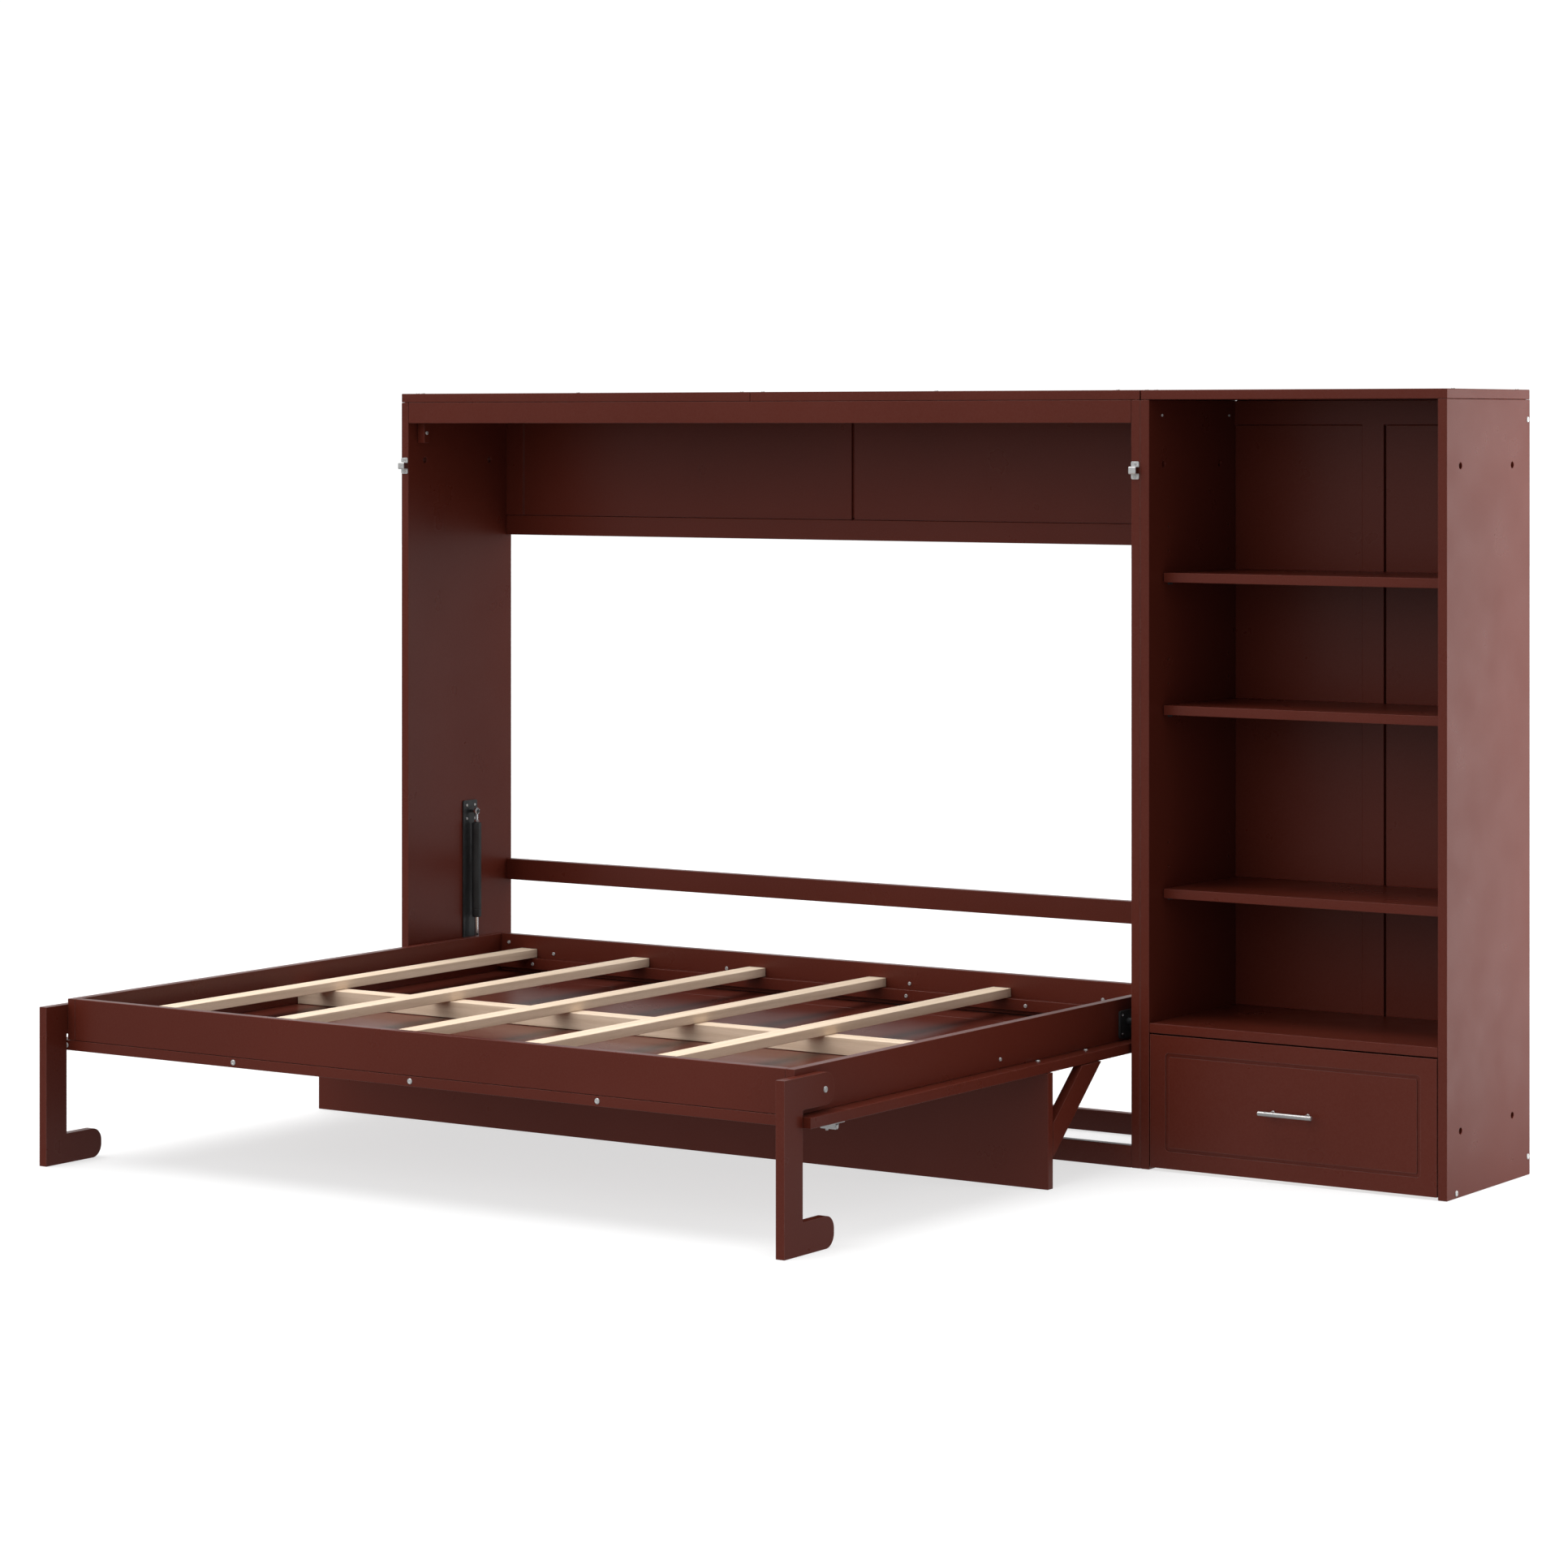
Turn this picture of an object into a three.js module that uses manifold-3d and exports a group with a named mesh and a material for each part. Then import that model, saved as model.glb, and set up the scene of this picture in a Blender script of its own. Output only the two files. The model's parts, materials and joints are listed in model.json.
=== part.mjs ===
// A horizontal wall bed: a framed bay with an open shelf case beside it. The bed hinges on two pins near
// the front of the bay and is shown let down, resting on a board that becomes a desk when it is folded up.
// Units are millimetres, +Z is up, +Y points to the wall and +X to the shelf case. The origin is on the
// floor, under the middle of the whole object.
import * as THREE from 'three';
import { mergeVertices } from 'three/addons/utils/BufferGeometryUtils.js';
import Module from 'manifold-3d';

const wasm = await Module();
wasm.setup();

// Overall sizes. Neighbouring boards leave a seam, so each is drawn half a seam inside its nominal place.
const SEAM = 0.3;
const BOARD = 22;
const HEIGHT = 1730;
const DEPTH = 420;
const BAY_WIDTH = 2100;
const CABINET_GAP = 2;
const CASE_WIDTH = 746;
const UNDER_TOP = HEIGHT - BOARD;
const BACK_FACE = 397.5;
const BAY_MIDDLE = BAY_WIDTH / 2;
const BAY_INNER = BAY_MIDDLE - BOARD;
const CASE_LEFT = BAY_WIDTH + CABINET_GAP;
const CASE_RIGHT = CASE_LEFT + CASE_WIDTH;
const CASE_IN = [CASE_LEFT + BOARD, CASE_RIGHT - BOARD];

// Bay rails and the framed back above them.
const KICK_HEIGHT = 50;
const MIDDLE_RAIL = [491, 544];
const BACK_RAIL = [1372, 1422];
const FASCIA_HEIGHT = 52;
const STILE_WIDTH = 54;
const PANEL_RECESS = 4.5;
const BACK_JOIN = [1074, 1081];
const STOP_BLOCK = { width: 21.5, front: 37, depth: 19, bottom: 1607 };

// Shelf case.
const SHELF = { thickness: 22, end_gap: 2, front: 60, back: 394, tops: [1323, 1027.5, 619] };
const SHELF_NAMES = ['shelf_upper', 'shelf_middle', 'shelf_lower'];
const FIXED_SHELF = [304, 326];
const CASE_RAIL_BOTTOM = 1652;
const CASE_STILE = [2448, 2503];
const CASE_STILE_GAP = 3;
const CASE_PANEL = [402.5, 417.5];

// Drawer under the fixed shelf.
const FRONT = { x: [CASE_IN[0] + 2, CASE_IN[1] - 2], thickness: 20, z: [6, 301.5] };
const FRONT_MIDDLE = (FRONT.x[0] + FRONT.x[1]) / 2;
const GROOVE = { inset: 39, width: 8, depth: 3, corner: 8 };
const RUNNER_GAP = 13;
const DRAWER_WALL = 12;
const DRAWER_BACK = 362;
const DRAWER_Z = [25, 235];
const DRAWER_FLOOR = [32, 38];
const HANDLE = { length: 130, radius: 5, posts: 85, post_radius: 4, reach: 28, z: 153.5 };

// Bed, let down. Half widths are measured from the middle plane of the bay.
const PIVOT = { y: 64.5, z: 316 };
const BED_Y = [-1271, 308];
const RAIL_HALF = 980;
const RAIL_Z = [275, 368];
const FACE = { half: 1019, bottom: 252, groove: 1.5, seams: [-1131, -482, 168] };
const BED_IN = [BED_Y[0] + BOARD, BED_Y[1] - BOARD];
const SLAT = { count: 6, pitch: 347, width: 50, z: [314, 336] };
const LEDGER = { thickness: 20, bottom: 286 };
const BEAM_WIDTH = 49;
const DESK = { half: 1022.5, front: -352 };
const DESK_BACK = DESK.front + BOARD;
const BRACE = { low: [66.5, 142], high: [-120, -204] };

// C-shaped folding leg. It turns on a bolt near the round end of its upper arm.
const LEG = { outer: 1001.6, thickness: 21, front: -1339, bar: 66, top: 355, tip: -1160, corner: 29 };
const LEG_BOLT = { y: -1192, z: 320.5, hole: 5.6 };

// Pivot plates, gas struts and their studs.
const PLATE = 4;
const CABINET_PLATE = { front: 36, strip: 217, back: 272, bottom: 280, foot: 345, top: 704, corner: 5 };
const BED_PLATE = { y: [28, 276], z: [280, 342], off: 0.35, corner: 6 };
const PIN_RADIUS = 8;
const PIN_CLEARANCE = 0.6;
const STRUT = { half: 1004, y: 244, top: 677, bottom: 322, radius: 12, bore: 5.6, rod: 5 };
const STRUT_TUBE = [410, 649.5];
const BORE_END = 640;
const ROD_END = 638;
const EYE = { radius: 9, hole: 4.6, thickness: 8, stud: 4, shank: 5 };
const STUD_PAST_EYE = 3;
const OPEN_PIVOT_GAP = 2.3;

// Slide bolts under the free edge of the bed, and the keepers on the bay's front edges.
const BOLT = { y: -1170.5, drop: 8, radius: 4, tip: 1017, length: 60, knob: 3.2, knob_drop: 11, knob_at: 34 };
const KEEPER_Z = PIVOT.z + PIVOT.y - BOLT.y;
const KEEPER = { width: 20, height: 40, loop: 20, reach: 16, metal: 2 };

const ROUND = 10;
const SMOOTH = 3 * ROUND;

function finish(color, roughness, metalness) {
  return new THREE.MeshStandardMaterial({ color, roughness, metalness });
}
const paint = () => finish(0x5b2d27, 0.45, 0);
const pine = () => finish(0xd2bd9a, 0.7, 0);
const blackSteel = () => finish(0x24262a, 0.5, 0.6);
const chrome = () => finish(0xc8ccd0, 0.2, 1);
const zinc = () => finish(0xb8bab8, 0.35, 1);

const cabinet = new THREE.Group();

function add(name, geometry, material) {
  const mesh = new THREE.Mesh(geometry, material);
  mesh.name = name;
  cabinet.add(mesh);
  return mesh;
}

// A board between nominal faces, drawn half a seam smaller all round.
function boxGeometry(x, y, z, trim = SEAM) {
  const size = [x, y, z].map(([low, high]) => high - low - trim);
  const geometry = new THREE.BoxGeometry(...size);
  geometry.translate((x[0] + x[1]) / 2, (y[0] + y[1]) / 2, (z[0] + z[1]) / 2);
  return geometry;
}

function board(name, x, y, z, material = paint()) {
  return add(name, boxGeometry(x, y, z), material);
}

// A range of X at the given distances from the bay's middle plane, on the left (-1) or right (+1).
function across(side, near, far) {
  const ends = [BAY_MIDDLE + side * near, BAY_MIDDLE + side * far];
  return ends.sort((a, b) => a - b);
}

function extrude(shape, length, curveSegments = ROUND) {
  return new THREE.ExtrudeGeometry(shape, { depth: length, bevelEnabled: false, curveSegments });
}

const Y_AXIS = new THREE.Vector3(0, 1, 0);
const Z_AXIS = new THREE.Vector3(0, 0, 1);
const X_AXIS = new THREE.Vector3(1, 0, 0);

// A shape drawn in the Y-Z plane, run along X.
function alongX(shape, [x0, x1]) {
  const geometry = extrude(shape, x1 - x0);
  geometry.applyMatrix4(new THREE.Matrix4().makeBasis(Y_AXIS, Z_AXIS, X_AXIS));
  geometry.translate(x0, 0, 0);
  return geometry;
}

// A shape drawn in the X-Z plane, run along Y.
function alongY(shape, [y0, y1]) {
  const geometry = extrude(shape, y1 - y0);
  geometry.applyMatrix4(new THREE.Matrix4().makeBasis(X_AXIS, Z_AXIS, Y_AXIS.clone().negate()));
  geometry.translate(0, y1, 0);
  return geometry;
}

function polygon(points) {
  return new THREE.Shape(points.map(([a, b]) => new THREE.Vector2(a, b)));
}

function disc(a, b, radius) {
  return new THREE.Shape().absarc(a, b, radius, 0, 2 * Math.PI, false);
}

function roundedRect([a0, a1], [b0, b1], r) {
  const shape = new THREE.Shape();
  shape.absarc(a1 - r, b0 + r, r, -Math.PI / 2, 0, false);
  shape.absarc(a1 - r, b1 - r, r, 0, Math.PI / 2, false);
  shape.absarc(a0 + r, b1 - r, r, Math.PI / 2, Math.PI, false);
  shape.absarc(a0 + r, b0 + r, r, Math.PI, 1.5 * Math.PI, false);
  return shape;
}

function toSolid(geometry) {
  const bare = geometry.clone();
  bare.deleteAttribute('normal');
  bare.deleteAttribute('uv');
  const merged = mergeVertices(bare, 1e-4);
  const vertProperties = new Float32Array(merged.attributes.position.array);
  const triVerts = new Uint32Array(merged.index.array);
  return new wasm.Manifold(new wasm.Mesh({ numProp: 3, vertProperties, triVerts }));
}

function toGeometry(solid) {
  const { vertProperties, triVerts } = solid.getMesh();
  const geometry = new THREE.BufferGeometry();
  geometry.setAttribute('position', new THREE.BufferAttribute(new Float32Array(vertProperties), 3));
  geometry.setIndex(new THREE.BufferAttribute(new Uint32Array(triVerts), 1));
  return geometry;
}

function joined(...pieces) {
  return toGeometry(pieces.map(toSolid).reduce((all, piece) => all.add(piece)));
}

function cutFrom(body, ...tools) {
  return toGeometry(tools.map(toSolid).reduce((left, tool) => left.subtract(tool), toSolid(body)));
}

// Bay: two side panels, a top in two halves, a fascia, three low rails and a framed upper back.
function bay() {
  const width = [BOARD, BAY_WIDTH - BOARD];
  const back = [BACK_FACE, DEPTH];
  board('bay_left_panel', [0, BOARD], [0, DEPTH], [0, UNDER_TOP]);
  board('bay_right_panel', [BAY_WIDTH - BOARD, BAY_WIDTH], [0, DEPTH], [0, UNDER_TOP]);
  board('bay_top_left', [0, BAY_MIDDLE], [0, DEPTH], [UNDER_TOP, HEIGHT]);
  board('bay_top_right', [BAY_MIDDLE, BAY_WIDTH], [0, DEPTH], [UNDER_TOP, HEIGHT]);
  board('front_fascia', width, [0, BOARD], [UNDER_TOP - FASCIA_HEIGHT, UNDER_TOP]);
  board('front_bottom_rail', width, [0, BOARD], [0, KICK_HEIGHT]);
  board('back_bottom_rail', width, back, [0, KICK_HEIGHT]);
  board('back_middle_rail', width, back, MIDDLE_RAIL);
  board('upper_back_rail', width, back, BACK_RAIL);
}

// One of the upper back's two boards, with a proud stile at its outer end. The joint stands off the middle.
function upperBack(name, side) {
  const inset = SEAM / 2;
  const outer = BAY_MIDDLE + side * (BAY_INNER - inset);
  const stile = BAY_MIDDLE + side * (BAY_INNER - STILE_WIDTH);
  const inner = side < 0 ? BACK_JOIN[0] : BACK_JOIN[1];
  const front = BACK_FACE + inset;
  const back = DEPTH - inset;
  const outline = [
    [outer, back],
    [outer, front],
    [stile, front],
    [stile, front + PANEL_RECESS],
    [inner, front + PANEL_RECESS],
    [inner, back],
  ];
  const geometry = extrude(polygon(outline), UNDER_TOP - BACK_RAIL[1] - SEAM);
  geometry.translate(0, 0, BACK_RAIL[1] + inset);
  add(name, geometry, paint());
}

function stopBlock(name, side) {
  const { width, front, depth, bottom } = STOP_BLOCK;
  board(name, across(side, BAY_INNER - width, BAY_INNER), [front, front + depth], [bottom, UNDER_TOP]);
}

// Steel plate on the bay's side panel: a tall strip that carries the gas strut's upper stud, and a foot
// that carries the bed's pivot pin.
function pivotPlate(name, side) {
  const { front, strip, back, bottom, foot, top, corner } = CABINET_PLATE;
  const inner = BAY_INNER - SEAM - PLATE;
  const outline = new THREE.Shape();
  outline.moveTo(front + corner, bottom);
  outline.lineTo(back, bottom);
  outline.absarc(back - corner, top - corner, corner, 0, Math.PI / 2, false);
  outline.absarc(strip + corner, top - corner, corner, Math.PI / 2, Math.PI, false);
  outline.lineTo(strip, foot);
  outline.absarc(front + corner, foot - corner, corner, Math.PI / 2, Math.PI, false);
  outline.absarc(front + corner, bottom + corner, corner, Math.PI, 1.5 * Math.PI, false);
  const plate = alongX(outline, across(side, inner, inner + PLATE));
  const pinTip = RAIL_HALF + SEAM;
  const studTip = STRUT.half - EYE.thickness / 2 - STUD_PAST_EYE;
  const pin = alongX(disc(PIVOT.y, PIVOT.z, PIN_RADIUS), across(side, pinTip, inner + PLATE / 2));
  const stud = alongX(disc(STRUT.y, STRUT.top, EYE.stud), across(side, studTip, inner + PLATE / 2));
  add(name, joined(plate, pin, stud), blackSteel());
}

// Plate on the bed's side rail. It turns on the pivot pin and carries the strut's lower stud.
function bedPlate(name, side) {
  const near = RAIL_HALF + BED_PLATE.off;
  const outline = roundedRect(BED_PLATE.y, BED_PLATE.z, BED_PLATE.corner);
  outline.holes.push(disc(PIVOT.y, PIVOT.z, PIN_RADIUS + PIN_CLEARANCE));
  const plate = alongX(outline, across(side, near, near + PLATE));
  const studTip = STRUT.half - EYE.thickness / 2 - OPEN_PIVOT_GAP;
  const stud = alongX(disc(STRUT.y, STRUT.bottom, EYE.stud), across(side, near + PLATE / 2, studTip));
  add(name, joined(plate, stud), blackSteel());
}

// The eye at one end of a strut, with the shank that joins it to the tube or the rod.
function strutEye(side, z, shankTo) {
  const { radius, hole, thickness, shank } = EYE;
  const ring = disc(STRUT.y, z, radius);
  ring.holes.push(disc(STRUT.y, z, hole));
  const x = across(side, STRUT.half - thickness / 2, STRUT.half + thickness / 2);
  const start = z + Math.sign(shankTo - z) * (hole + 1);
  const neck = new THREE.CylinderGeometry(shank - 1, shank - 1, Math.abs(shankTo - start), SMOOTH);
  neck.rotateX(Math.PI / 2);
  neck.translate(BAY_MIDDLE + side * STRUT.half, STRUT.y, (start + shankTo) / 2);
  return [alongX(ring, x), neck];
}

function turned(profile, side) {
  const geometry = new THREE.LatheGeometry(profile.map(([r, z]) => new THREE.Vector2(r, z)), SMOOTH);
  geometry.rotateX(Math.PI / 2);
  geometry.translate(BAY_MIDDLE + side * STRUT.half, STRUT.y, 0);
  return geometry;
}

// Pressure tube of a gas strut: a blind bore open at the bottom, and the upper eye.
function strutTube(name, side) {
  const [low, high] = STRUT_TUBE;
  const tube = turned([
    [0, BORE_END],
    [STRUT.bore, BORE_END],
    [STRUT.bore, low],
    [STRUT.radius, low],
    [STRUT.radius, high - 2],
    [STRUT.radius - 2, high],
    [0, high],
  ], side);
  add(name, joined(tube, ...strutEye(side, STRUT.top, high - 1)), blackSteel());
}

function strutRod(name, side) {
  const low = STRUT.bottom + EYE.radius;
  const rod = turned([[0, low], [STRUT.rod, low], [STRUT.rod, ROD_END], [0, ROD_END]], side);
  add(name, joined(rod, ...strutEye(side, STRUT.bottom, low + 1)), chrome());
}

// Keeper: a strap screwed to the bay's front edge, bent out into a loop that the slide bolt enters.
function keeper(name, side) {
  const { width, height, loop, reach, metal } = KEEPER;
  const wall = -SEAM / 2;
  const half = [
    [wall, height / 2],
    [wall - metal, height / 2],
    [wall - metal, loop / 2],
    [-reach, loop / 2],
  ];
  const hollow = [[metal - reach, loop / 2 - metal], [wall, loop / 2 - metal]];
  const mirrored = (points) => points.map(([y, z]) => [y, -z]).reverse();
  const outline = [...half, ...mirrored(half), ...mirrored(hollow), ...hollow];
  const shifted = outline.map(([y, z]) => [y, KEEPER_Z + z]);
  const middle = BAY_MIDDLE - BOARD / 2;
  add(name, alongX(polygon(shifted), across(side, middle - width / 2, middle + width / 2)), zinc());
}

// Shelf case: sides, top, panelled back, a fixed shelf over the drawer and three loose shelves.
function shelfCase() {
  board('bookcase_left_panel', [CASE_LEFT, CASE_IN[0]], [0, DEPTH], [0, UNDER_TOP]);
  board('bookcase_right_panel', [CASE_IN[1], CASE_RIGHT], [0, DEPTH], [0, UNDER_TOP]);
  board('bookcase_top', [CASE_LEFT, CASE_RIGHT], [0, DEPTH], [UNDER_TOP, HEIGHT]);
  board('fixed_shelf', CASE_IN, [0, BACK_FACE], FIXED_SHELF);
  board('bookcase_back_left', [CASE_IN[0], CASE_STILE[0]], CASE_PANEL, [0, CASE_RAIL_BOTTOM]);
  const right = [CASE_STILE[1] + CASE_STILE_GAP, CASE_IN[1]];
  board('bookcase_back_right', right, CASE_PANEL, [0, CASE_RAIL_BOTTOM]);
  const ends = [CASE_IN[0] + SHELF.end_gap, CASE_IN[1] - SHELF.end_gap];
  SHELF.tops.forEach((top, i) => {
    board(SHELF_NAMES[i], ends, [SHELF.front, SHELF.back], [top - SHELF.thickness, top]);
  });
}

// The back's top rail and centre stile, glued into one T.
function caseBackFrame() {
  const depth = [BACK_FACE, DEPTH];
  const rail = boxGeometry(CASE_IN, depth, [CASE_RAIL_BOTTOM, UNDER_TOP]);
  const stile = boxGeometry(CASE_STILE, depth, [0, CASE_RAIL_BOTTOM + BOARD]);
  add('bookcase_back_frame', joined(rail, stile), paint());
}

// Drawer front with a routed frame line.
function drawerFront() {
  const { x, thickness, z } = FRONT;
  const slab = boxGeometry(x, [0, thickness], z);
  const { inset, width, depth, corner } = GROOVE;
  const edge = (offset) => [
    [x[0] + offset, x[1] - offset],
    [z[0] + offset, z[1] - offset],
  ];
  const ring = roundedRect(...edge(inset), corner);
  ring.holes.push(roundedRect(...edge(inset + width), corner - width / 2));
  add('drawer_front', cutFrom(slab, alongY(ring, [-1, depth])), paint());
}

function drawerBox() {
  const left = CASE_IN[0] + RUNNER_GAP;
  const right = CASE_IN[1] - RUNNER_GAP;
  const inside = [left + DRAWER_WALL, right - DRAWER_WALL];
  const depth = [FRONT.thickness, DRAWER_BACK];
  const back = [DRAWER_BACK - DRAWER_WALL, DRAWER_BACK];
  board('drawer_left_side', [left, inside[0]], depth, DRAWER_Z, pine());
  board('drawer_right_side', [inside[1], right], depth, DRAWER_Z, pine());
  board('drawer_back', inside, back, DRAWER_Z, pine());
  board('drawer_bottom', inside, [FRONT.thickness, back[0]], DRAWER_FLOOR, pine());
}

function drawerHandle() {
  const { length, radius, posts, post_radius, reach, z } = HANDLE;
  const ends = [FRONT_MIDDLE - length / 2, FRONT_MIDDLE + length / 2];
  const bar = alongX(disc(-reach, z, radius), ends);
  const post = (x) => alongY(disc(x, z, post_radius), [-reach, -SEAM / 2]);
  const both = [-posts / 2, posts / 2].map((offset) => post(FRONT_MIDDLE + offset));
  add('drawer_handle', joined(bar, ...both), zinc());
}

// Bed frame: four rails on edge around the mattress, on a flat board that is the closed bed's front.
function bedRails() {
  const [front, back] = BED_Y;
  const between = across(1, -(RAIL_HALF - BOARD), RAIL_HALF - BOARD);
  board('bed_front_rail', between, [front, front + BOARD], RAIL_Z);
  board('bed_back_rail', between, [back - BOARD, back], RAIL_Z);
  [['bed_left_rail', -1], ['bed_right_rail', 1]].forEach(([name, side]) => {
    const rail = boxGeometry(across(side, RAIL_HALF - BOARD, RAIL_HALF), BED_Y, RAIL_Z);
    add(name, cutFrom(rail, legBoltHole(side)), paint());
  });
}

// The hole for a leg's bolt, through the leg and the rail behind it.
function legBoltHole(side) {
  const { y, z, hole } = LEG_BOLT;
  return alongX(disc(y, z, hole), across(side, RAIL_HALF - 2 * BOARD, LEG.outer + BOARD));
}

// The face board, with fine joint lines where its planks meet.
function facePanel() {
  const slab = boxGeometry(across(1, -FACE.half, FACE.half), BED_Y, [FACE.bottom, RAIL_Z[0]]);
  const lines = FACE.seams.flatMap((y) => [FACE.bottom, RAIL_Z[0]].map((z) => boxGeometry(
    across(1, -FACE.half - 1, FACE.half + 1),
    [y - FACE.groove, y + FACE.groove],
    [z - FACE.groove, z + FACE.groove],
  )));
  add('face_panel', cutFrom(slab, ...lines), paint());
}

function mattressSupport() {
  const inside = across(1, -(RAIL_HALF - BOARD), RAIL_HALF - BOARD);
  const middle = (BED_IN[0] + BED_IN[1]) / 2;
  const ledgerZ = [LEDGER.bottom, SLAT.z[0]];
  board('slat_ledger_front', inside, [BED_IN[0], BED_IN[0] + LEDGER.thickness], ledgerZ);
  board('slat_ledger_back', inside, [BED_IN[1] - LEDGER.thickness, BED_IN[1]], ledgerZ);
  const beamY = [middle - BEAM_WIDTH / 2, middle + BEAM_WIDTH / 2];
  board('centre_beam', inside, beamY, [RAIL_Z[0], SLAT.z[0]], pine());
  for (let i = 0; i < SLAT.count; i += 1) {
    const x = BAY_MIDDLE + (i - (SLAT.count - 1) / 2) * SLAT.pitch;
    board(`slat_${i + 1}`, [x - SLAT.width / 2, x + SLAT.width / 2], BED_IN, SLAT.z, pine());
  }
}

// Desk board: on the floor while the bed is down, a desk top when it is folded up.
function desk() {
  board('desk_board', across(1, -DESK.half, DESK.half), [DESK.front, DESK_BACK], [0, FACE.bottom]);
}

function deskBrace(name, side) {
  const inset = SEAM / 2;
  const outline = polygon([
    [DESK_BACK + inset, BRACE.low[0]],
    [BRACE.high[0], FACE.bottom - inset],
    [BRACE.high[1], FACE.bottom - inset],
    [DESK_BACK + inset, BRACE.low[1]],
  ]);
  const x = across(side, DESK.half - BOARD, DESK.half - inset);
  add(name, alongX(outline, x), paint());
}

// C-shaped leg: stem in front of the bed, a foot and an upper arm pointing back.
function leg(name, side) {
  const { outer, thickness, front, bar, top, tip, corner } = LEG;
  const stem = front + bar;
  const floor = SEAM / 2;
  const outline = new THREE.Shape();
  outline.moveTo(front, top);
  outline.lineTo(front, floor);
  outline.absarc(tip - corner, floor + corner, corner, -Math.PI / 2, 0, false);
  outline.absarc(tip - corner, bar - corner, corner, 0, Math.PI / 2, false);
  outline.lineTo(stem, bar);
  outline.lineTo(stem, top - bar);
  outline.absarc(tip - corner, top - bar + corner, corner, -Math.PI / 2, 0, false);
  outline.absarc(tip - corner, top - corner, corner, 0, Math.PI / 2, false);
  const body = alongX(outline, across(side, outer - thickness, outer));
  add(name, cutFrom(body, legBoltHole(side)), paint());
}

// Slide bolt with its thumb knob. It leaves the bed's side and enters the keeper when the bed is closed.
function latchBolt(name, side) {
  const { y, drop, radius, tip, length, knob, knob_drop, knob_at } = BOLT;
  const z = FACE.bottom - drop;
  const rod = alongX(disc(y, z, radius), across(side, tip - length, tip));
  const grip = new THREE.CylinderGeometry(knob, knob, knob_drop, SMOOTH);
  grip.rotateX(Math.PI / 2);
  grip.translate(BAY_MIDDLE + side * (tip - knob_at), y, z - knob_drop / 2);
  add(name, joined(rod, grip), zinc());
}

function bothSides(build, stem) {
  build(`${stem}_left`, -1);
  build(`${stem}_right`, 1);
}

bay();
bothSides(upperBack, 'upper_back');
bothSides(stopBlock, 'stop_block');
bothSides(pivotPlate, 'pivot_plate');
bothSides(keeper, 'keeper');
shelfCase();
caseBackFrame();
drawerFront();
drawerBox();
drawerHandle();
bedRails();
facePanel();
mattressSupport();
desk();
bothSides(deskBrace, 'desk_brace');
bothSides(bedPlate, 'bed_plate');
bothSides(leg, 'leg');
bothSides(strutTube, 'strut_tube');
bothSides(strutRod, 'strut_rod');
bothSides(latchBolt, 'latch_bolt');

// The pieces above are placed from the bay's front left foot, so the group moves them to the origin.
cabinet.position.set(-CASE_RIGHT / 2, -(LEG.front + DEPTH - SEAM / 2) / 2, -SEAM / 2);

const group = new THREE.Group();
group.add(cabinet);

export default group;
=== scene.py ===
import json
import math

import bmesh
import bpy
from mathutils import Matrix, Vector

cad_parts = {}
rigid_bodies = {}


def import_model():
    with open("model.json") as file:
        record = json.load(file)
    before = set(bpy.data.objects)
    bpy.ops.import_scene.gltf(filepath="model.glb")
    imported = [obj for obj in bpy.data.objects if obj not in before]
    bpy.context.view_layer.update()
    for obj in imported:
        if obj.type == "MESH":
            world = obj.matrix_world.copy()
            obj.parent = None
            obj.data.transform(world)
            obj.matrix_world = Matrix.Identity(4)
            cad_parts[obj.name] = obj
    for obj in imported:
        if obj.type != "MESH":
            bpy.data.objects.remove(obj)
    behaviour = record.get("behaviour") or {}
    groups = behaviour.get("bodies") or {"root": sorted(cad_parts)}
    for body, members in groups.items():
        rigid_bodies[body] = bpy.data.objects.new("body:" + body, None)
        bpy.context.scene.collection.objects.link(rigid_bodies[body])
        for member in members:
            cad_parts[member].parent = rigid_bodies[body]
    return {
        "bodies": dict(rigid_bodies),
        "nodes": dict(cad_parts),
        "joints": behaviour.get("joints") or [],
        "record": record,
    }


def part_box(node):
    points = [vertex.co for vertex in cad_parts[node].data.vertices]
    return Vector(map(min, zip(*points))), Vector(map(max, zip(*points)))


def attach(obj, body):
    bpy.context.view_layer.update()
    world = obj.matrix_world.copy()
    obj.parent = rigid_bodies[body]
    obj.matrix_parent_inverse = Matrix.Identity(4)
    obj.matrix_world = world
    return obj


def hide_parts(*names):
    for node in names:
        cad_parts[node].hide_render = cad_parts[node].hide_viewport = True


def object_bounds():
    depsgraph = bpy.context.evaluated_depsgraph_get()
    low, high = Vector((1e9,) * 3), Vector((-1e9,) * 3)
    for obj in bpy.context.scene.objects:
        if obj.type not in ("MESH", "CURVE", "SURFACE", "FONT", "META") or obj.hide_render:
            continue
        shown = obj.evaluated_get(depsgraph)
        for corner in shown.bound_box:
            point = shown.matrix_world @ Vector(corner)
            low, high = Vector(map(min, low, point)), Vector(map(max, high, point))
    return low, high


# A horizontal wall bed beside a shelf case, let down. Lengths are metres. +Y points to the wall behind the
# bed and +X to the shelf case. Boards keep their CAD solids. Panels with holes and hardware are made here.
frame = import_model()
cad_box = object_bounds()
NODES = frame["nodes"]
NODE_BODY = {child.name: body for body, empty in frame["bodies"].items() for child in empty.children}
SLOTS = {part["node"]: part["material_slot"] for part in frame["record"]["subparts"]}
JOINTS = {joint["name"]: joint for joint in frame["joints"]}
SIDES = {"left": -1, "right": 1}

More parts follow.
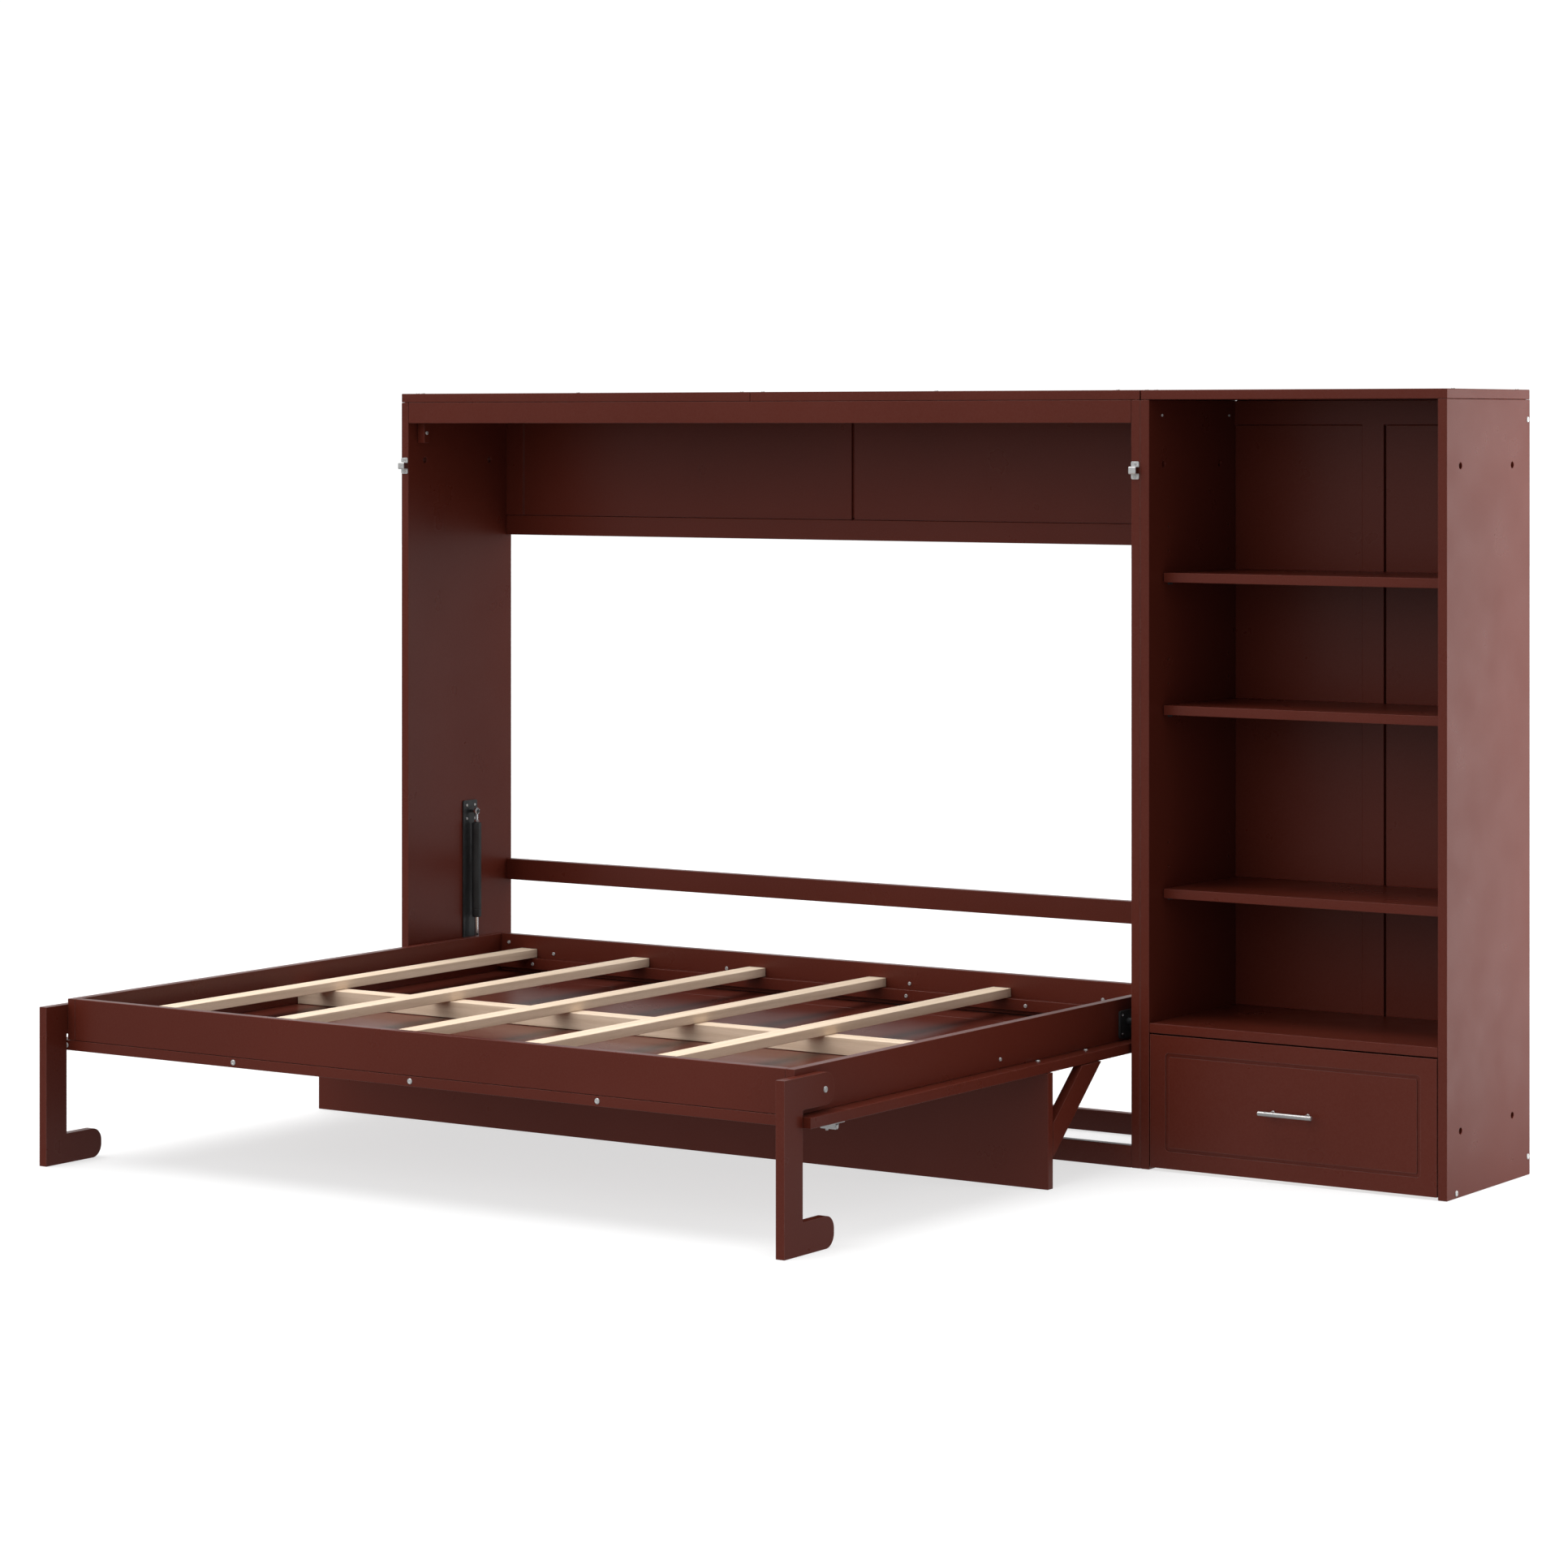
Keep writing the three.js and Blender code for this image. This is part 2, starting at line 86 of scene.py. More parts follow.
LEFT, RIGHT = Vector((-1, 0, 0)), Vector((1, 0, 0))
FORWARD, BACKWARD = Vector((0, -1, 0)), Vector((0, 1, 0))
UP, DOWN = Vector((0, 0, 1)), Vector((0, 0, -1))

# Edges and turned shapes.
BOARD_ROUNDING = 0.0016
BOARD_SHRINK = 0.0003
METAL_ROUNDING = 0.0006
SHARP_ANGLE = math.radians(34)
TURNED_STEPS = 24
EMBED = 0.0004

# Camera: level, at standing height, turned to the left of the wall's normal.
CAMERA_PLACE = (5.522, -8.1354, 1.6491)
CAMERA_TURN = math.radians(34.006)
CAMERA_LENS = 101.69
CAMERA_SENSOR = 36
CAMERA_SHIFT = -0.2282

# The white room: how bright it is to surfaces, in reflections, and to the camera.
ROOM_LIGHT = 0.55
ROOM_GLOSS = 0.25
ROOM_WHITE = 1.05

# Holes that join side panels to a neighbour, measured from the panel's front edge and from the floor.
JOIN_HOLE_RADIUS = 0.0072
JOIN_HOLE_BACK = (0.067, 0.3285)
JOIN_HOLE_UP = (0.1415, 1.5645)
PIN_HOLE_RADIUS = 0.0025
PIN_HOLE_DEPTH = 0.011
PIN_HOLE_BACK = (0.089, 0.371)
PIN_HOLE_STEPS = (0, 0.071, 0.126)
SHELVES = ("shelf_upper", "shelf_middle", "shelf_lower")

# Hardware. The plates' outer faces stand off the bay panel's inner face, and the bed's middle plane.
PIVOT_PLATE_FACE = 0.0043
BED_PLATE_FACE = 0.98435
EYE_RADIUS = 0.009
BOLT_RADIUS = 0.004
HANDLE_POSTS = (-0.0425, 0.0425)

PAINT_COLOR = (0.097, 0.0155, 0.0080)
PAINT_DARK = (0.087, 0.0134, 0.0068)
# Pale paint: used for random flecks, and as the colour of a painted highlight along the board edges.
PAINT_FLECK_AND_HIGHLIGHT = (0.215, 0.098, 0.082)
PINE_LIGHT = (0.82, 0.655, 0.505)
PINE_DARK = (0.66, 0.50, 0.355)
PINE_PORE = (0.54, 0.40, 0.27)
PINE_WARM = (0.84, 0.70, 0.53)
PINE_TONE = (0.66, 0.50, 0.34)
POWDER_DARK = (0.014, 0.015, 0.016)
POWDER_LIGHT = (0.025, 0.027, 0.029)
# The colour of a painted highlight along the powder coat's edges.
POWDER_HIGHLIGHT = (0.13, 0.135, 0.14)


# ---------------------------------------------------------------- materials
class Shader:
    """A material's node tree, with short calls for the nodes that the finishes here share."""

    def __init__(self, name):
        self.material = bpy.data.materials.new(name)
        self.material.use_nodes = True
        self.tree = self.material.node_tree
        self.surface = self.tree.nodes["Principled BSDF"]
        self.place = self.add("ShaderNodeTexCoord").outputs["Object"]

    def add(self, kind, inputs=None, **settings):
        node = self.tree.nodes.new(kind)
        for key, value in settings.items():
            setattr(node, key, value)
        for key, value in (inputs or {}).items():
            self.feed(node.inputs[key], value)
        return node

    def feed(self, socket, value):
        if isinstance(value, bpy.types.NodeSocket):
            self.tree.links.new(value, socket)
        else:
            socket.default_value = value

    def stretched(self, scale):
        return self.add("ShaderNodeMapping", {"Vector": self.place, "Scale": scale}).outputs["Vector"]

    def noise(self, scale, detail=3.0, roughness=0.5, distortion=0.0, vector=None):
        inputs = {"Vector": vector or self.place, "Scale": scale, "Detail": detail,
                  "Roughness": roughness, "Distortion": distortion}
        return self.add("ShaderNodeTexNoise", inputs).outputs["Fac"]

    def ramp(self, value, low, high, start=0.0, end=1.0):
        inputs = {"Value": value, "From Min": low, "From Max": high, "To Min": start, "To Max": end}
        return self.add("ShaderNodeMapRange", inputs).outputs["Result"]

    def math(self, operation, a, b):
        return self.add("ShaderNodeMath", {0: a, 1: b}, operation=operation).outputs["Value"]

    def mix(self, factor, a, b):
        node = self.add("ShaderNodeMix", data_type="RGBA")
        self.feed(node.inputs["Factor"], factor)
        for key, value in (("A", a), ("B", b)):
            socket = [s for s in node.inputs if s.name == key and s.type == "RGBA"][0]
            self.feed(socket, (*value, 1) if isinstance(value, tuple) else value)
        return [s for s in node.outputs if s.type == "RGBA"][0]

    def bump(self, height, strength, distance, below=None):
        inputs = {"Height": height, "Strength": strength, "Distance": distance}
        if below is not None:
            inputs["Normal"] = below
        return self.add("ShaderNodeBump", inputs).outputs["Normal"]

    def edges(self, radius, low, high):
        """1 along convex and concave edges, 0 on flat faces."""
        rounded = self.add("ShaderNodeBevel", {"Radius": radius}, samples=4).outputs["Normal"]
        flat = self.add("ShaderNodeNewGeometry").outputs["Normal"]
        dot = self.add("ShaderNodeVectorMath", {0: rounded, 1: flat}, operation="DOT_PRODUCT")
        return self.ramp(dot.outputs["Value"], high, low)

    def set(self, **values):
        for key, value in values.items():
            name = key.replace("_", " ")
            value = (*value, 1) if isinstance(value, tuple) else value
            self.feed(self.surface.inputs[name], value)
        return self


def painted_wood():
    """Satin reddish-brown paint: slow mottling, a fine sprayed skin, and a painted highlight on the edges."""
    s = Shader("satin_paint")
    mottle = s.ramp(s.noise(2.2, 4.0), 0.35, 0.65)
    speckle = s.ramp(s.noise(260, 2.0), 0.3, 0.7)
    color = s.mix(mottle, PAINT_DARK, PAINT_COLOR)
    color = s.mix(s.ramp(speckle, 0, 1, 0, 0.05), color, PAINT_FLECK_AND_HIGHLIGHT)
    # Painted highlight: paler paint along convex and concave edges, broken into noise patches.
    patches = s.ramp(s.noise(38, 3.0), 0.3, 0.6, 0.35, 0.75)
    edge_highlight = s.math("MULTIPLY", s.edges(0.0018, 0.80, 0.99), patches)
    color = s.mix(edge_highlight, color, PAINT_FLECK_AND_HIGHLIGHT)
    sprayed = s.noise(420, 2.0)
    waves = s.noise(45, 2.0)
    normal = s.bump(sprayed, 0.06, 0.00012, s.bump(waves, 0.05, 0.00025))
    s.set(Base_Color=color, Normal=normal, IOR=1.46)
    s.set(Roughness=s.ramp(s.noise(9, 4.0), 0.3, 0.7, 0.27, 0.33))
    s.surface.inputs["Specular IOR Level"].default_value = 0.28
    return s.material


def pine(name, along):
    """Bare softwood with its grain along X or Y: wide early wood, thin darker late wood, and fine pores."""
    s = Shader(name)
    squeeze = {"x": (0.035, 1, 1), "y": (1, 0.035, 1)}[along]
    grain_place = s.stretched(squeeze)
    warp = s.noise(9, 3.0, vector=grain_place)
    rings = s.add("ShaderNodeTexWave", {"Vector": grain_place, "Scale": 22.0, "Distortion": 7.0,
                                        "Detail": 3.0, "Detail Scale": 1.4},
                  wave_type="BANDS", bands_direction="DIAGONAL").outputs["Fac"]
    late = s.math("POWER", rings, 2.2)
    pores = s.noise(900, 3.0, 0.6, vector=grain_place)
    boards = s.noise(2.6, 0.0)
    color = s.mix(s.ramp(late, 0, 1, 0, 0.55), PINE_LIGHT, PINE_DARK)
    color = s.mix(s.ramp(pores, 0.42, 0.75, 0, 0.4), color, PINE_PORE)
    color = s.mix(s.ramp(warp, 0.3, 0.7, 0, 0.28), color, PINE_WARM)
    color = s.mix(s.ramp(boards, 0.3, 0.7, 0, 0.22), color, PINE_TONE)
    normal = s.bump(pores, 0.25, 0.0005, s.bump(late, 0.12, 0.0006))
    s.set(Base_Color=color, Normal=normal, Roughness=s.ramp(pores, 0.3, 0.7, 0.55, 0.75))
    s.surface.inputs["Specular IOR Level"].default_value = 0.35
    return s.material


def powder_coat():
    """Black powder coat with its fine pebbled skin, and a painted highlight on the edges."""
    s = Shader("black_powder_coat")
    pebble = s.noise(1500, 2.0)
    cloud = s.ramp(s.noise(14, 3.0), 0.35, 0.65)
    color = s.mix(cloud, POWDER_DARK, POWDER_LIGHT)
    # Painted highlight: a paler grey along convex and concave edges, in noise patches.
    patches = s.ramp(s.noise(120, 2.0), 0.3, 0.6, 0.3, 1.0)
    edge_highlight = s.math("MULTIPLY", s.edges(0.0014, 0.80, 0.99), patches)
    color = s.mix(s.ramp(edge_highlight, 0, 1, 0, 0.75), color, POWDER_HIGHLIGHT)
    s.set(Base_Color=color, Normal=s.bump(pebble, 0.35, 0.0003))
    s.set(Roughness=s.ramp(s.noise(60, 3.0), 0.3, 0.7, 0.42, 0.58))
    return s.material


def bare_metal(name, light, dark, roughness, streak, streak_axis="x", bump=0.05, metallic=1.0):
    """Bare or plated metal: streaks along its drawing or brushing, and slow changes of tone."""
    s = Shader(name)
    squeeze = {"x": (0.02, 1, 1), "z": (1, 1, 0.02), "none": (1, 1, 1)}[streak_axis]
    streaks = s.noise(streak, 3.0, 0.6, vector=s.stretched(squeeze))
    tone = s.noise(55, 3.0)
    color = s.mix(s.ramp(streaks, 0.35, 0.65), dark, light)
    color = s.mix(s.ramp(tone, 0.35, 0.7, 0, 0.35), color, dark)
    s.set(Base_Color=color, Normal=s.bump(streaks, bump, 0.0002), Metallic=metallic)
    s.set(Roughness=s.ramp(streaks, 0.3, 0.7, roughness * 0.8, roughness * 1.25))
    return s.material


MATERIALS = {
    "painted_wood": painted_wood(),
    "pine": pine("pine_along_y", "y"),
    "pine_x": pine("pine_along_x", "x"),
    "black_steel": powder_coat(),
    "chrome": bare_metal("polished_chrome", (0.80, 0.81, 0.83), (0.62, 0.63, 0.66), 0.15, 500, "z", 0.02),
    "zinc_steel": bare_metal("bright_zinc", (0.80, 0.80, 0.79), (0.64, 0.64, 0.64), 0.32, 700, "none", 0.06,
                             metallic=0.6),
    "brushed_steel": bare_metal("brushed_steel", (0.70, 0.69, 0.68), (0.62, 0.61, 0.60), 0.38, 700, "x", 0.01,
                                metallic=0.8),
}


# ---------------------------------------------------------------- mesh code
def facing(point, normal, up=None):
    """A frame at point whose +Z is normal; its +Y is as near to up as it can be."""
    z = Vector(normal).normalized()
    up = Vector(up) if up else (UP if abs(z.z) < 0.9 else BACKWARD)
    x = up.cross(z).normalized()
    turn = Matrix((x, z.cross(x), z)).transposed().to_4x4()
    return Matrix.Translation(Vector(point)) @ turn


def skin(bm, rings, closed=False):
    """Faces between rings of points. A ring of one point closes an end."""
    made = [[bm.verts.new(p) for p in ring] for ring in rings]
    pairs = list(zip(made, made[1:])) + ([(made[-1], made[0])] if closed else [])
    for low, high in pairs:
        count = max(len(low), len(high))
        for i in range(count):
            j = (i + 1) % count
            corners = [low[i % len(low)], low[j % len(low)], high[j % len(high)], high[i % len(high)]]
            unique = list(dict.fromkeys(corners))
            bm.faces.new(unique)
    if not closed:
        for ring in (made[0], made[-1]):
            if len(ring) > 2:
                bm.faces.new(ring)


def circle(radius, height, steps=TURNED_STEPS):
    if radius == 0:
        return [Vector((0, 0, height))]
    angles = [2 * math.pi * i / steps for i in range(steps)]
    return [Vector((radius * math.cos(a), radius * math.sin(a), height)) for a in angles]


def turned(bm, profile, place, steps=TURNED_STEPS, closed=False):
    """A profile of (radius, height) points turned about the place's Z."""
    skin(bm, [[place @ p for p in circle(r, h, steps)] for r, h in profile], closed)


def prism(bm, outline, length, place):
    """An outline in the place's X-Y plane, run length along its Z."""
    skin(bm, [[place @ Vector((x, y, z)) for x, y in outline] for z in (0, length)])


def arc(cx, cy, radius, start, end, steps=6):
    angles = [math.radians(start + (end - start) * i / steps) for i in range(steps + 1)]
    return [(cx + radius * math.cos(a), cy + radius * math.sin(a)) for a in angles]


def rounded(width, height, radius):
    """A rectangle about the origin with round corners."""
    x, y = width / 2 - radius, height / 2 - radius
    return (arc(x, y, radius, 0, 90) + arc(-x, y, radius, 90, 180)
            + arc(-x, -y, radius, 180, 270) + arc(x, -y, radius, 270, 360))


def block(bm, low, high):
    size = Vector(high) - Vector(low)
    middle = (Vector(high) + Vector(low)) / 2
    bmesh.ops.create_cube(bm, size=1, matrix=Matrix.Translation(middle) @ Matrix.Diagonal((*size, 1)))


def soften(obj, width, steps=2, shrink=0.0):
    """Rounds the sharp edges a little and shades the faces from their area. A shrink opens the joints."""
    obj.data.shade_smooth()
    weld = obj.modifiers.new("weld", "WELD")
    weld.merge_threshold = 1e-5
    if shrink:
        thin = obj.modifiers.new("joint_gap", "DISPLACE")
        thin.mid_level = 0
        thin.strength = -shrink
    bevel = obj.modifiers.new("rounding", "BEVEL")
    bevel.width = width
    bevel.segments = steps
    bevel.limit_method = "ANGLE"
    bevel.angle_limit = SHARP_ANGLE
    shade = obj.modifiers.new("shading", "WEIGHTED_NORMAL")
    shade.keep_sharp = False
    return obj


def piece(name, bm, slot, body, rounding=METAL_ROUNDING, material=None):
    """The mesh as a finished piece on its body."""
    bmesh.ops.recalc_face_normals(bm, faces=bm.faces)
    mesh = bpy.data.meshes.new(name)
    bm.to_mesh(mesh)
    bm.free()
    obj = bpy.data.objects.new(name, mesh)
    bpy.context.scene.collection.objects.link(obj)
    mesh.materials.append(MATERIALS[material or slot])
    soften(obj, rounding)
    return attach(obj, body)


# ---------------------------------------------------------------- boards kept from the CAD model
def dress_cad():
    """Every CAD node gets its finish and fine round edges."""
    for name, obj in NODES.items():
        slot = SLOTS[name]
        low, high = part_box(name)
        along_x = slot == "pine" and high.x - low.x > high.y - low.y
        obj.data.materials.clear()
        obj.data.materials.append(MATERIALS["pine_x" if along_x else slot])
        if slot in ("painted_wood", "pine"):
            soften(obj, BOARD_ROUNDING, shrink=BOARD_SHRINK)
        else:
            soften(obj, METAL_ROUNDING)


# ---------------------------------------------------------------- side panels with their holes
def drilled(name, node, holes):
    """The node's board with round holes: (entry point, direction, radius, depth)."""
    low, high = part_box(node)
    body = bmesh.new()
    margin = Vector((1, 1, 1)) * BOARD_SHRINK * 0.5
    block(body, low + margin, high - margin)
    tools = bmesh.new()
    for entry, direction, radius, depth in holes:
        start = 0.002
        turned(tools, [(0, -start), (radius, -start), (radius, depth), (0, depth)], facing(entry, direction))
    bmesh.ops.recalc_face_normals(tools, faces=tools.faces)
    meshes = []
    for label, bm in (("board", body), ("tools", tools)):
        mesh = bpy.data.meshes.new(f"{name}_{label}")
        bm.to_mesh(mesh)
        bm.free()
        obj = bpy.data.objects.new(f"{name}_{label}", mesh)
        bpy.context.scene.collection.objects.link(obj)
        meshes.append(obj)
    blank, cutter = meshes
    cut = blank.modifiers.new("cut", "BOOLEAN")
    cut.operation = "DIFFERENCE"
    cut.object = cutter
    bpy.context.view_layer.update()
    result = bmesh.new()
    result.from_mesh(blank.evaluated_get(bpy.context.evaluated_depsgraph_get()).to_mesh())
    for obj in meshes:
        bpy.data.objects.remove(obj)
    panel = piece(name, result, "painted_wood", NODE_BODY[node], BOARD_ROUNDING)
    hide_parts(node)


def join_holes(node, side):
    """Through holes, entered from the panel's outer face."""
    low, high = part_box(node)
    x = high.x if side > 0 else low.x
    direction = LEFT * side
    depth = high.x - low.x + 0.004
    return [((x, low.y + back, up), direction, JOIN_HOLE_RADIUS, depth)
            for back in JOIN_HOLE_BACK for up in JOIN_HOLE_UP]


def pin_places():
    """Heights of the shelf pins and the spare holes above them."""
    return [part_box(shelf)[0].z - PIN_HOLE_RADIUS + step for shelf in SHELVES for step in PIN_HOLE_STEPS]


def pin_holes(node, side):
    """Blind holes in the face that looks into the case."""
    low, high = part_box(node)
    x = low.x if side > 0 else high.x
    return [((x, low.y + back, z), RIGHT * side, PIN_HOLE_RADIUS, PIN_HOLE_DEPTH)
            for back in PIN_HOLE_BACK for z in pin_places()]


def side_panels():
    for side, sign in SIDES.items():
        bay = f"bay_{side}_panel"
        case = f"bookcase_{side}_panel"
        drilled(f"bay_side_{side}", bay, join_holes(bay, sign))
        drilled(f"case_side_{side}", case, join_holes(case, sign) + pin_holes(case, sign))


def joint_tongues():
    """Loose tongues in the joints of the two framed backs, and the strip between the bay and the case."""
    half_width, reach, clear = 0.0022, 0.005, 0.0012
    bm = bmesh.new()
    frame_low, frame_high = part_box("bookcase_back_frame")
    left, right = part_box("bookcase_back_left"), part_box("bookcase_back_right")
    middle = (left[0].y + left[1].y) / 2

    def tongue(x, z, y=middle):
        block(bm, (x[0], y - half_width, z[0]), (x[1], y + half_width, z[1]))

    tongue((frame_low.x + clear, frame_high.x - clear), (frame_high.z - reach, frame_high.z + reach))
    for panel in (left, right):
        tongue((panel[0].x + clear, panel[1].x - clear), (panel[1].z - reach, panel[1].z + reach))
    for x in (left[1].x, right[0].x):
        tongue((x - reach, x + reach), (frame_low.z + clear, left[1].z - clear))
    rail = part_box("upper_back_rail")
    halves = (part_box("upper_back_left"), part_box("upper_back_right"))
    y = (halves[0][0].y + halves[0][1].y) / 2 + 0.002
    inner = (halves[0][1].x, halves[1][0].x)
    tongue((rail[0].x + clear, rail[1].x - clear), (rail[1].z - reach, rail[1].z + reach), y)
    tongue((inner[0] - reach, inner[1] + reach), (rail[1].z + clear, halves[0][1].z - clear), y)
    for low, high in halves:
        tongue((low.x + clear, high.x - clear), (high.z - reach, high.z + reach), y)
    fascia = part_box("front_fascia")
    tongue((fascia[0].x + clear, fascia[1].x - clear), (fascia[1].z - reach, fascia[1].z + reach),
           (fascia[0].y + fascia[1].y) / 2)
    for node in ("bay_left_panel", "bay_right_panel", "bookcase_left_panel", "bookcase_right_panel"):
        low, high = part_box(node)
        x = (low.x + high.x) / 2
        near = (x - half_width, low.y + clear, high.z - reach)
        far = (x + half_width, high.y - clear, high.z + reach)
        block(bm, near, far)
    piece("joint_tongues", bm, "painted_wood", "cabinet", 0.0002)
    bay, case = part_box("bay_right_panel"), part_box("bookcase_left_panel")
    bm = bmesh.new()
    inset = Vector((0, 0.0006, 0.0006))
    near = Vector((bay[1].x, bay[0].y, bay[0].z))
    far = Vector((case[0].x, case[1].y, case[1].z))
    block(bm, near + inset, far - inset)
    piece("joining_strip", bm, "painted_wood", "cabinet", 0.0002)


def shelf_pins():
    """Steel pins under the loose shelves: a peg in the side panel and a round lip that carries the shelf."""
    peg, collar = 0.0023, 0.0034
    profile = [(0, -0.009), (peg, -0.009), (peg, 0.0002), (collar, 0.0002), (collar, 0.0016),
               (peg, 0.0016), (peg, 0.009), (0.0017, 0.0098), (0, 0.0098)]
    for shelf in SHELVES:
        bm = bmesh.new()
        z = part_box(shelf)[0].z - PIN_HOLE_RADIUS - 0.0002
        for side, sign in SIDES.items():
            low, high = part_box(f"bookcase_{side}_panel")
            x = low.x if sign > 0 else high.x
            for back in PIN_HOLE_BACK:
                turned(bm, profile, facing((x, low.y + back, z), LEFT * sign), 16)
        piece(f"{shelf}_pins", bm, "black_steel", "cabinet", 0.0002)


# ---------------------------------------------------------------- screws and bolts
def cross_recess(size):
    """24 points of a cross-shaped recess, every 15 degrees or so."""
    arm, half = 0.62 * size, 0.19 * size
    middle = (arm + half) / 2
    quarter = [(arm, 0), (arm, half), (middle, half), (half, half), (half, middle), (half, arm)]
    points = []
    for turn in range(4):
        c, s = ((1, 0), (0, 1), (-1, 0), (0, -1))[turn]
        points += [(c * x - s * y, s * x + c * y) for x, y in quarter]
    return points


def hex_recess(size):
    """24 points of a hexagonal socket."""
    points = []
    for i in range(24):
        angle = math.radians(15 * i)
        reach = 0.42 * size / math.cos(math.radians((15 * i) % 60 - 30))
        points.append((reach * math.cos(angle), reach * math.sin(angle)))
    return points


def head(bm, point, normal, radius, height, recess=cross_recess, depth=0.6, turn=0.0):
    """A domed head on a face, with its driver recess. It is let into the face by a hair."""
    place = facing(point, normal) @ Matrix.Rotation(turn, 4, "Z")
    rings = [circle(r * radius, h, 24) for r, h in
             ((1, -EMBED), (1, 0.35 * height), (0.93, 0.7 * height), (0.80, 0.93 * height), (0.66, height))]
    outline = recess(radius)
    floor = height - depth * height
    rings.append([Vector((x, y, height)) for x, y in outline])
    rings.append([Vector((0.82 * x, 0.82 * y, floor)) for x, y in outline])
    skin(bm, [[place @ p for p in ring] for ring in rings])


def heads(name, body, places, radius, height, slot="zinc_steel", recess=cross_recess, depth=0.6):
    """A set of like screws or bolts: (point, normal) places. Each stands at its own turn."""
    bm = bmesh.new()
    for i, (point, normal) in enumerate(places):
        head(bm, point, normal, radius, height, recess, depth, math.radians(37 * i + 12))
    return piece(name, bm, slot, body, 0.00025)


def cabinet_screws():
    """Heads on the tops, the outer sides and inside the case."""
    bay = (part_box("bay_left_panel")[0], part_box("bay_right_panel")[1])
    case = (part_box("bookcase_left_panel")[0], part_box("bookcase_right_panel")[1])
    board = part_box("bookcase_top")[1].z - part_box("bookcase_top")[0].z
    middle = (bay[0].x + bay[1].x) / 2
    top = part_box("bookcase_top")[1].z
    front, back = bay[0].y, bay[1].y
    rear = back - board / 2
    along_fascia = (-0.989, -0.511, -0.03, 0.03, 0.511, 0.989)
    tops = [((middle + x, front + board / 2, top), UP) for x in along_fascia]
    tops += [((middle + x, rear, top), UP) for x in along_fascia]
    sides_x = (bay[0].x + board / 2, bay[1].x - board / 2, case[0].x + board / 2, case[1].x - board / 2)
    tops += [((x, front + y, top), UP) for x in sides_x for y in (0.052, 0.376)]
    heads("top_screws", "cabinet", tops, 0.0042, 0.0016)

    high_bolt, low_bolt, kick_bolt = 1.664, 0.0406, (0.0457, 0.0108)
    rails = [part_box(n) for n in ("back_bottom_rail", "back_middle_rail", "upper_back_rail")]
    heights = [(low.z + high.z) / 2 for low, high in rails] + [high_bolt]
    outer = [((bay[0].x, rear, z), LEFT) for z in heights]
    kick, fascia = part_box("front_bottom_rail"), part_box("front_fascia")
    outer += [((bay[0].x, front + board / 2, (b[0].z + b[1].z) / 2), LEFT) for b in (kick, fascia)]
    outer += [((case[1].x, rear, z), RIGHT) for z in (high_bolt, low_bolt)]
    outer += [((case[1].x, front + kick_bolt[0], kick_bolt[1]), RIGHT)]
    heads("side_bolts", "cabinet", outer, 0.0065, 0.0018, recess=hex_recess, depth=0.5)

    inner = []
    under_top = 1.6735
    for side, sign in SIDES.items():
        low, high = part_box(f"bookcase_{side}_panel")
        x = low.x if sign > 0 else high.x
        inner += [((x, front + y, under_top), LEFT * sign) for y in (0.0593, 0.3728)]
    heads("case_inner_screws", "cabinet", inner, 0.0034, 0.0014)


def stop_block_screws():
    places = []
    for side, sign in SIDES.items():
        low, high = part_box(f"stop_block_{side}")
        x = low.x if sign > 0 else high.x
        places.append(((x, (low.y + high.y) / 2, low.z + 0.025), LEFT * sign))
    heads("stop_block_screws", "cabinet", places, 0.0046, 0.0026)


def plate_screws():
    """Screws round the studs and pins of the pivot plates and the bed plates."""
    pivot = Vector(JOINTS["bed_tilt"]["pos_m"])
    for side, sign in SIDES.items():
        low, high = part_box(f"strut_tube_{side}")
        eye_y, eye_z = (low.y + high.y) / 2, high.z - EYE_RADIUS
        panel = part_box(f"bay_{side}_panel")
        inner = panel[1].x if sign < 0 else panel[0].x
        face = inner - sign * PIVOT_PLATE_FACE
        spots = [(eye_y + y, eye_z + z) for y in (-0.0135, 0.018) for z in (-0.019, 0.0148)]
        spots += [(pivot.y + y, pivot.z + z) for y in (-0.019, 0.019) for z in (-0.024, 0.018)]
        spots += [(eye_y + y, pivot.z + z) for y in (-0.05, 0.016) for z in (-0.022, 0.016)]
        places = [((face, y, z), LEFT * sign) for y, z in spots]
        heads(f"pivot_plate_screws_{side}", "cabinet", places, 0.0034, 0.0016, depth=0.7)

        low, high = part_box(f"bed_plate_{side}")
        plate_face = pivot.x + sign * BED_PLATE_FACE
        inset_y, inset_z = 0.011, 0.010
        middle = (low.y + high.y) / 2
        spots = [(y, z) for y in (low.y + inset_y, middle, high.y - inset_y - 0.004)
                 for z in (low.z + inset_z, high.z - inset_z)]
        places = [((plate_face, y, z), RIGHT * sign) for y, z in spots]
        heads(f"bed_plate_screws_{side}", "bed", places, 0.0027, 0.0010, "chrome", depth=0.7)


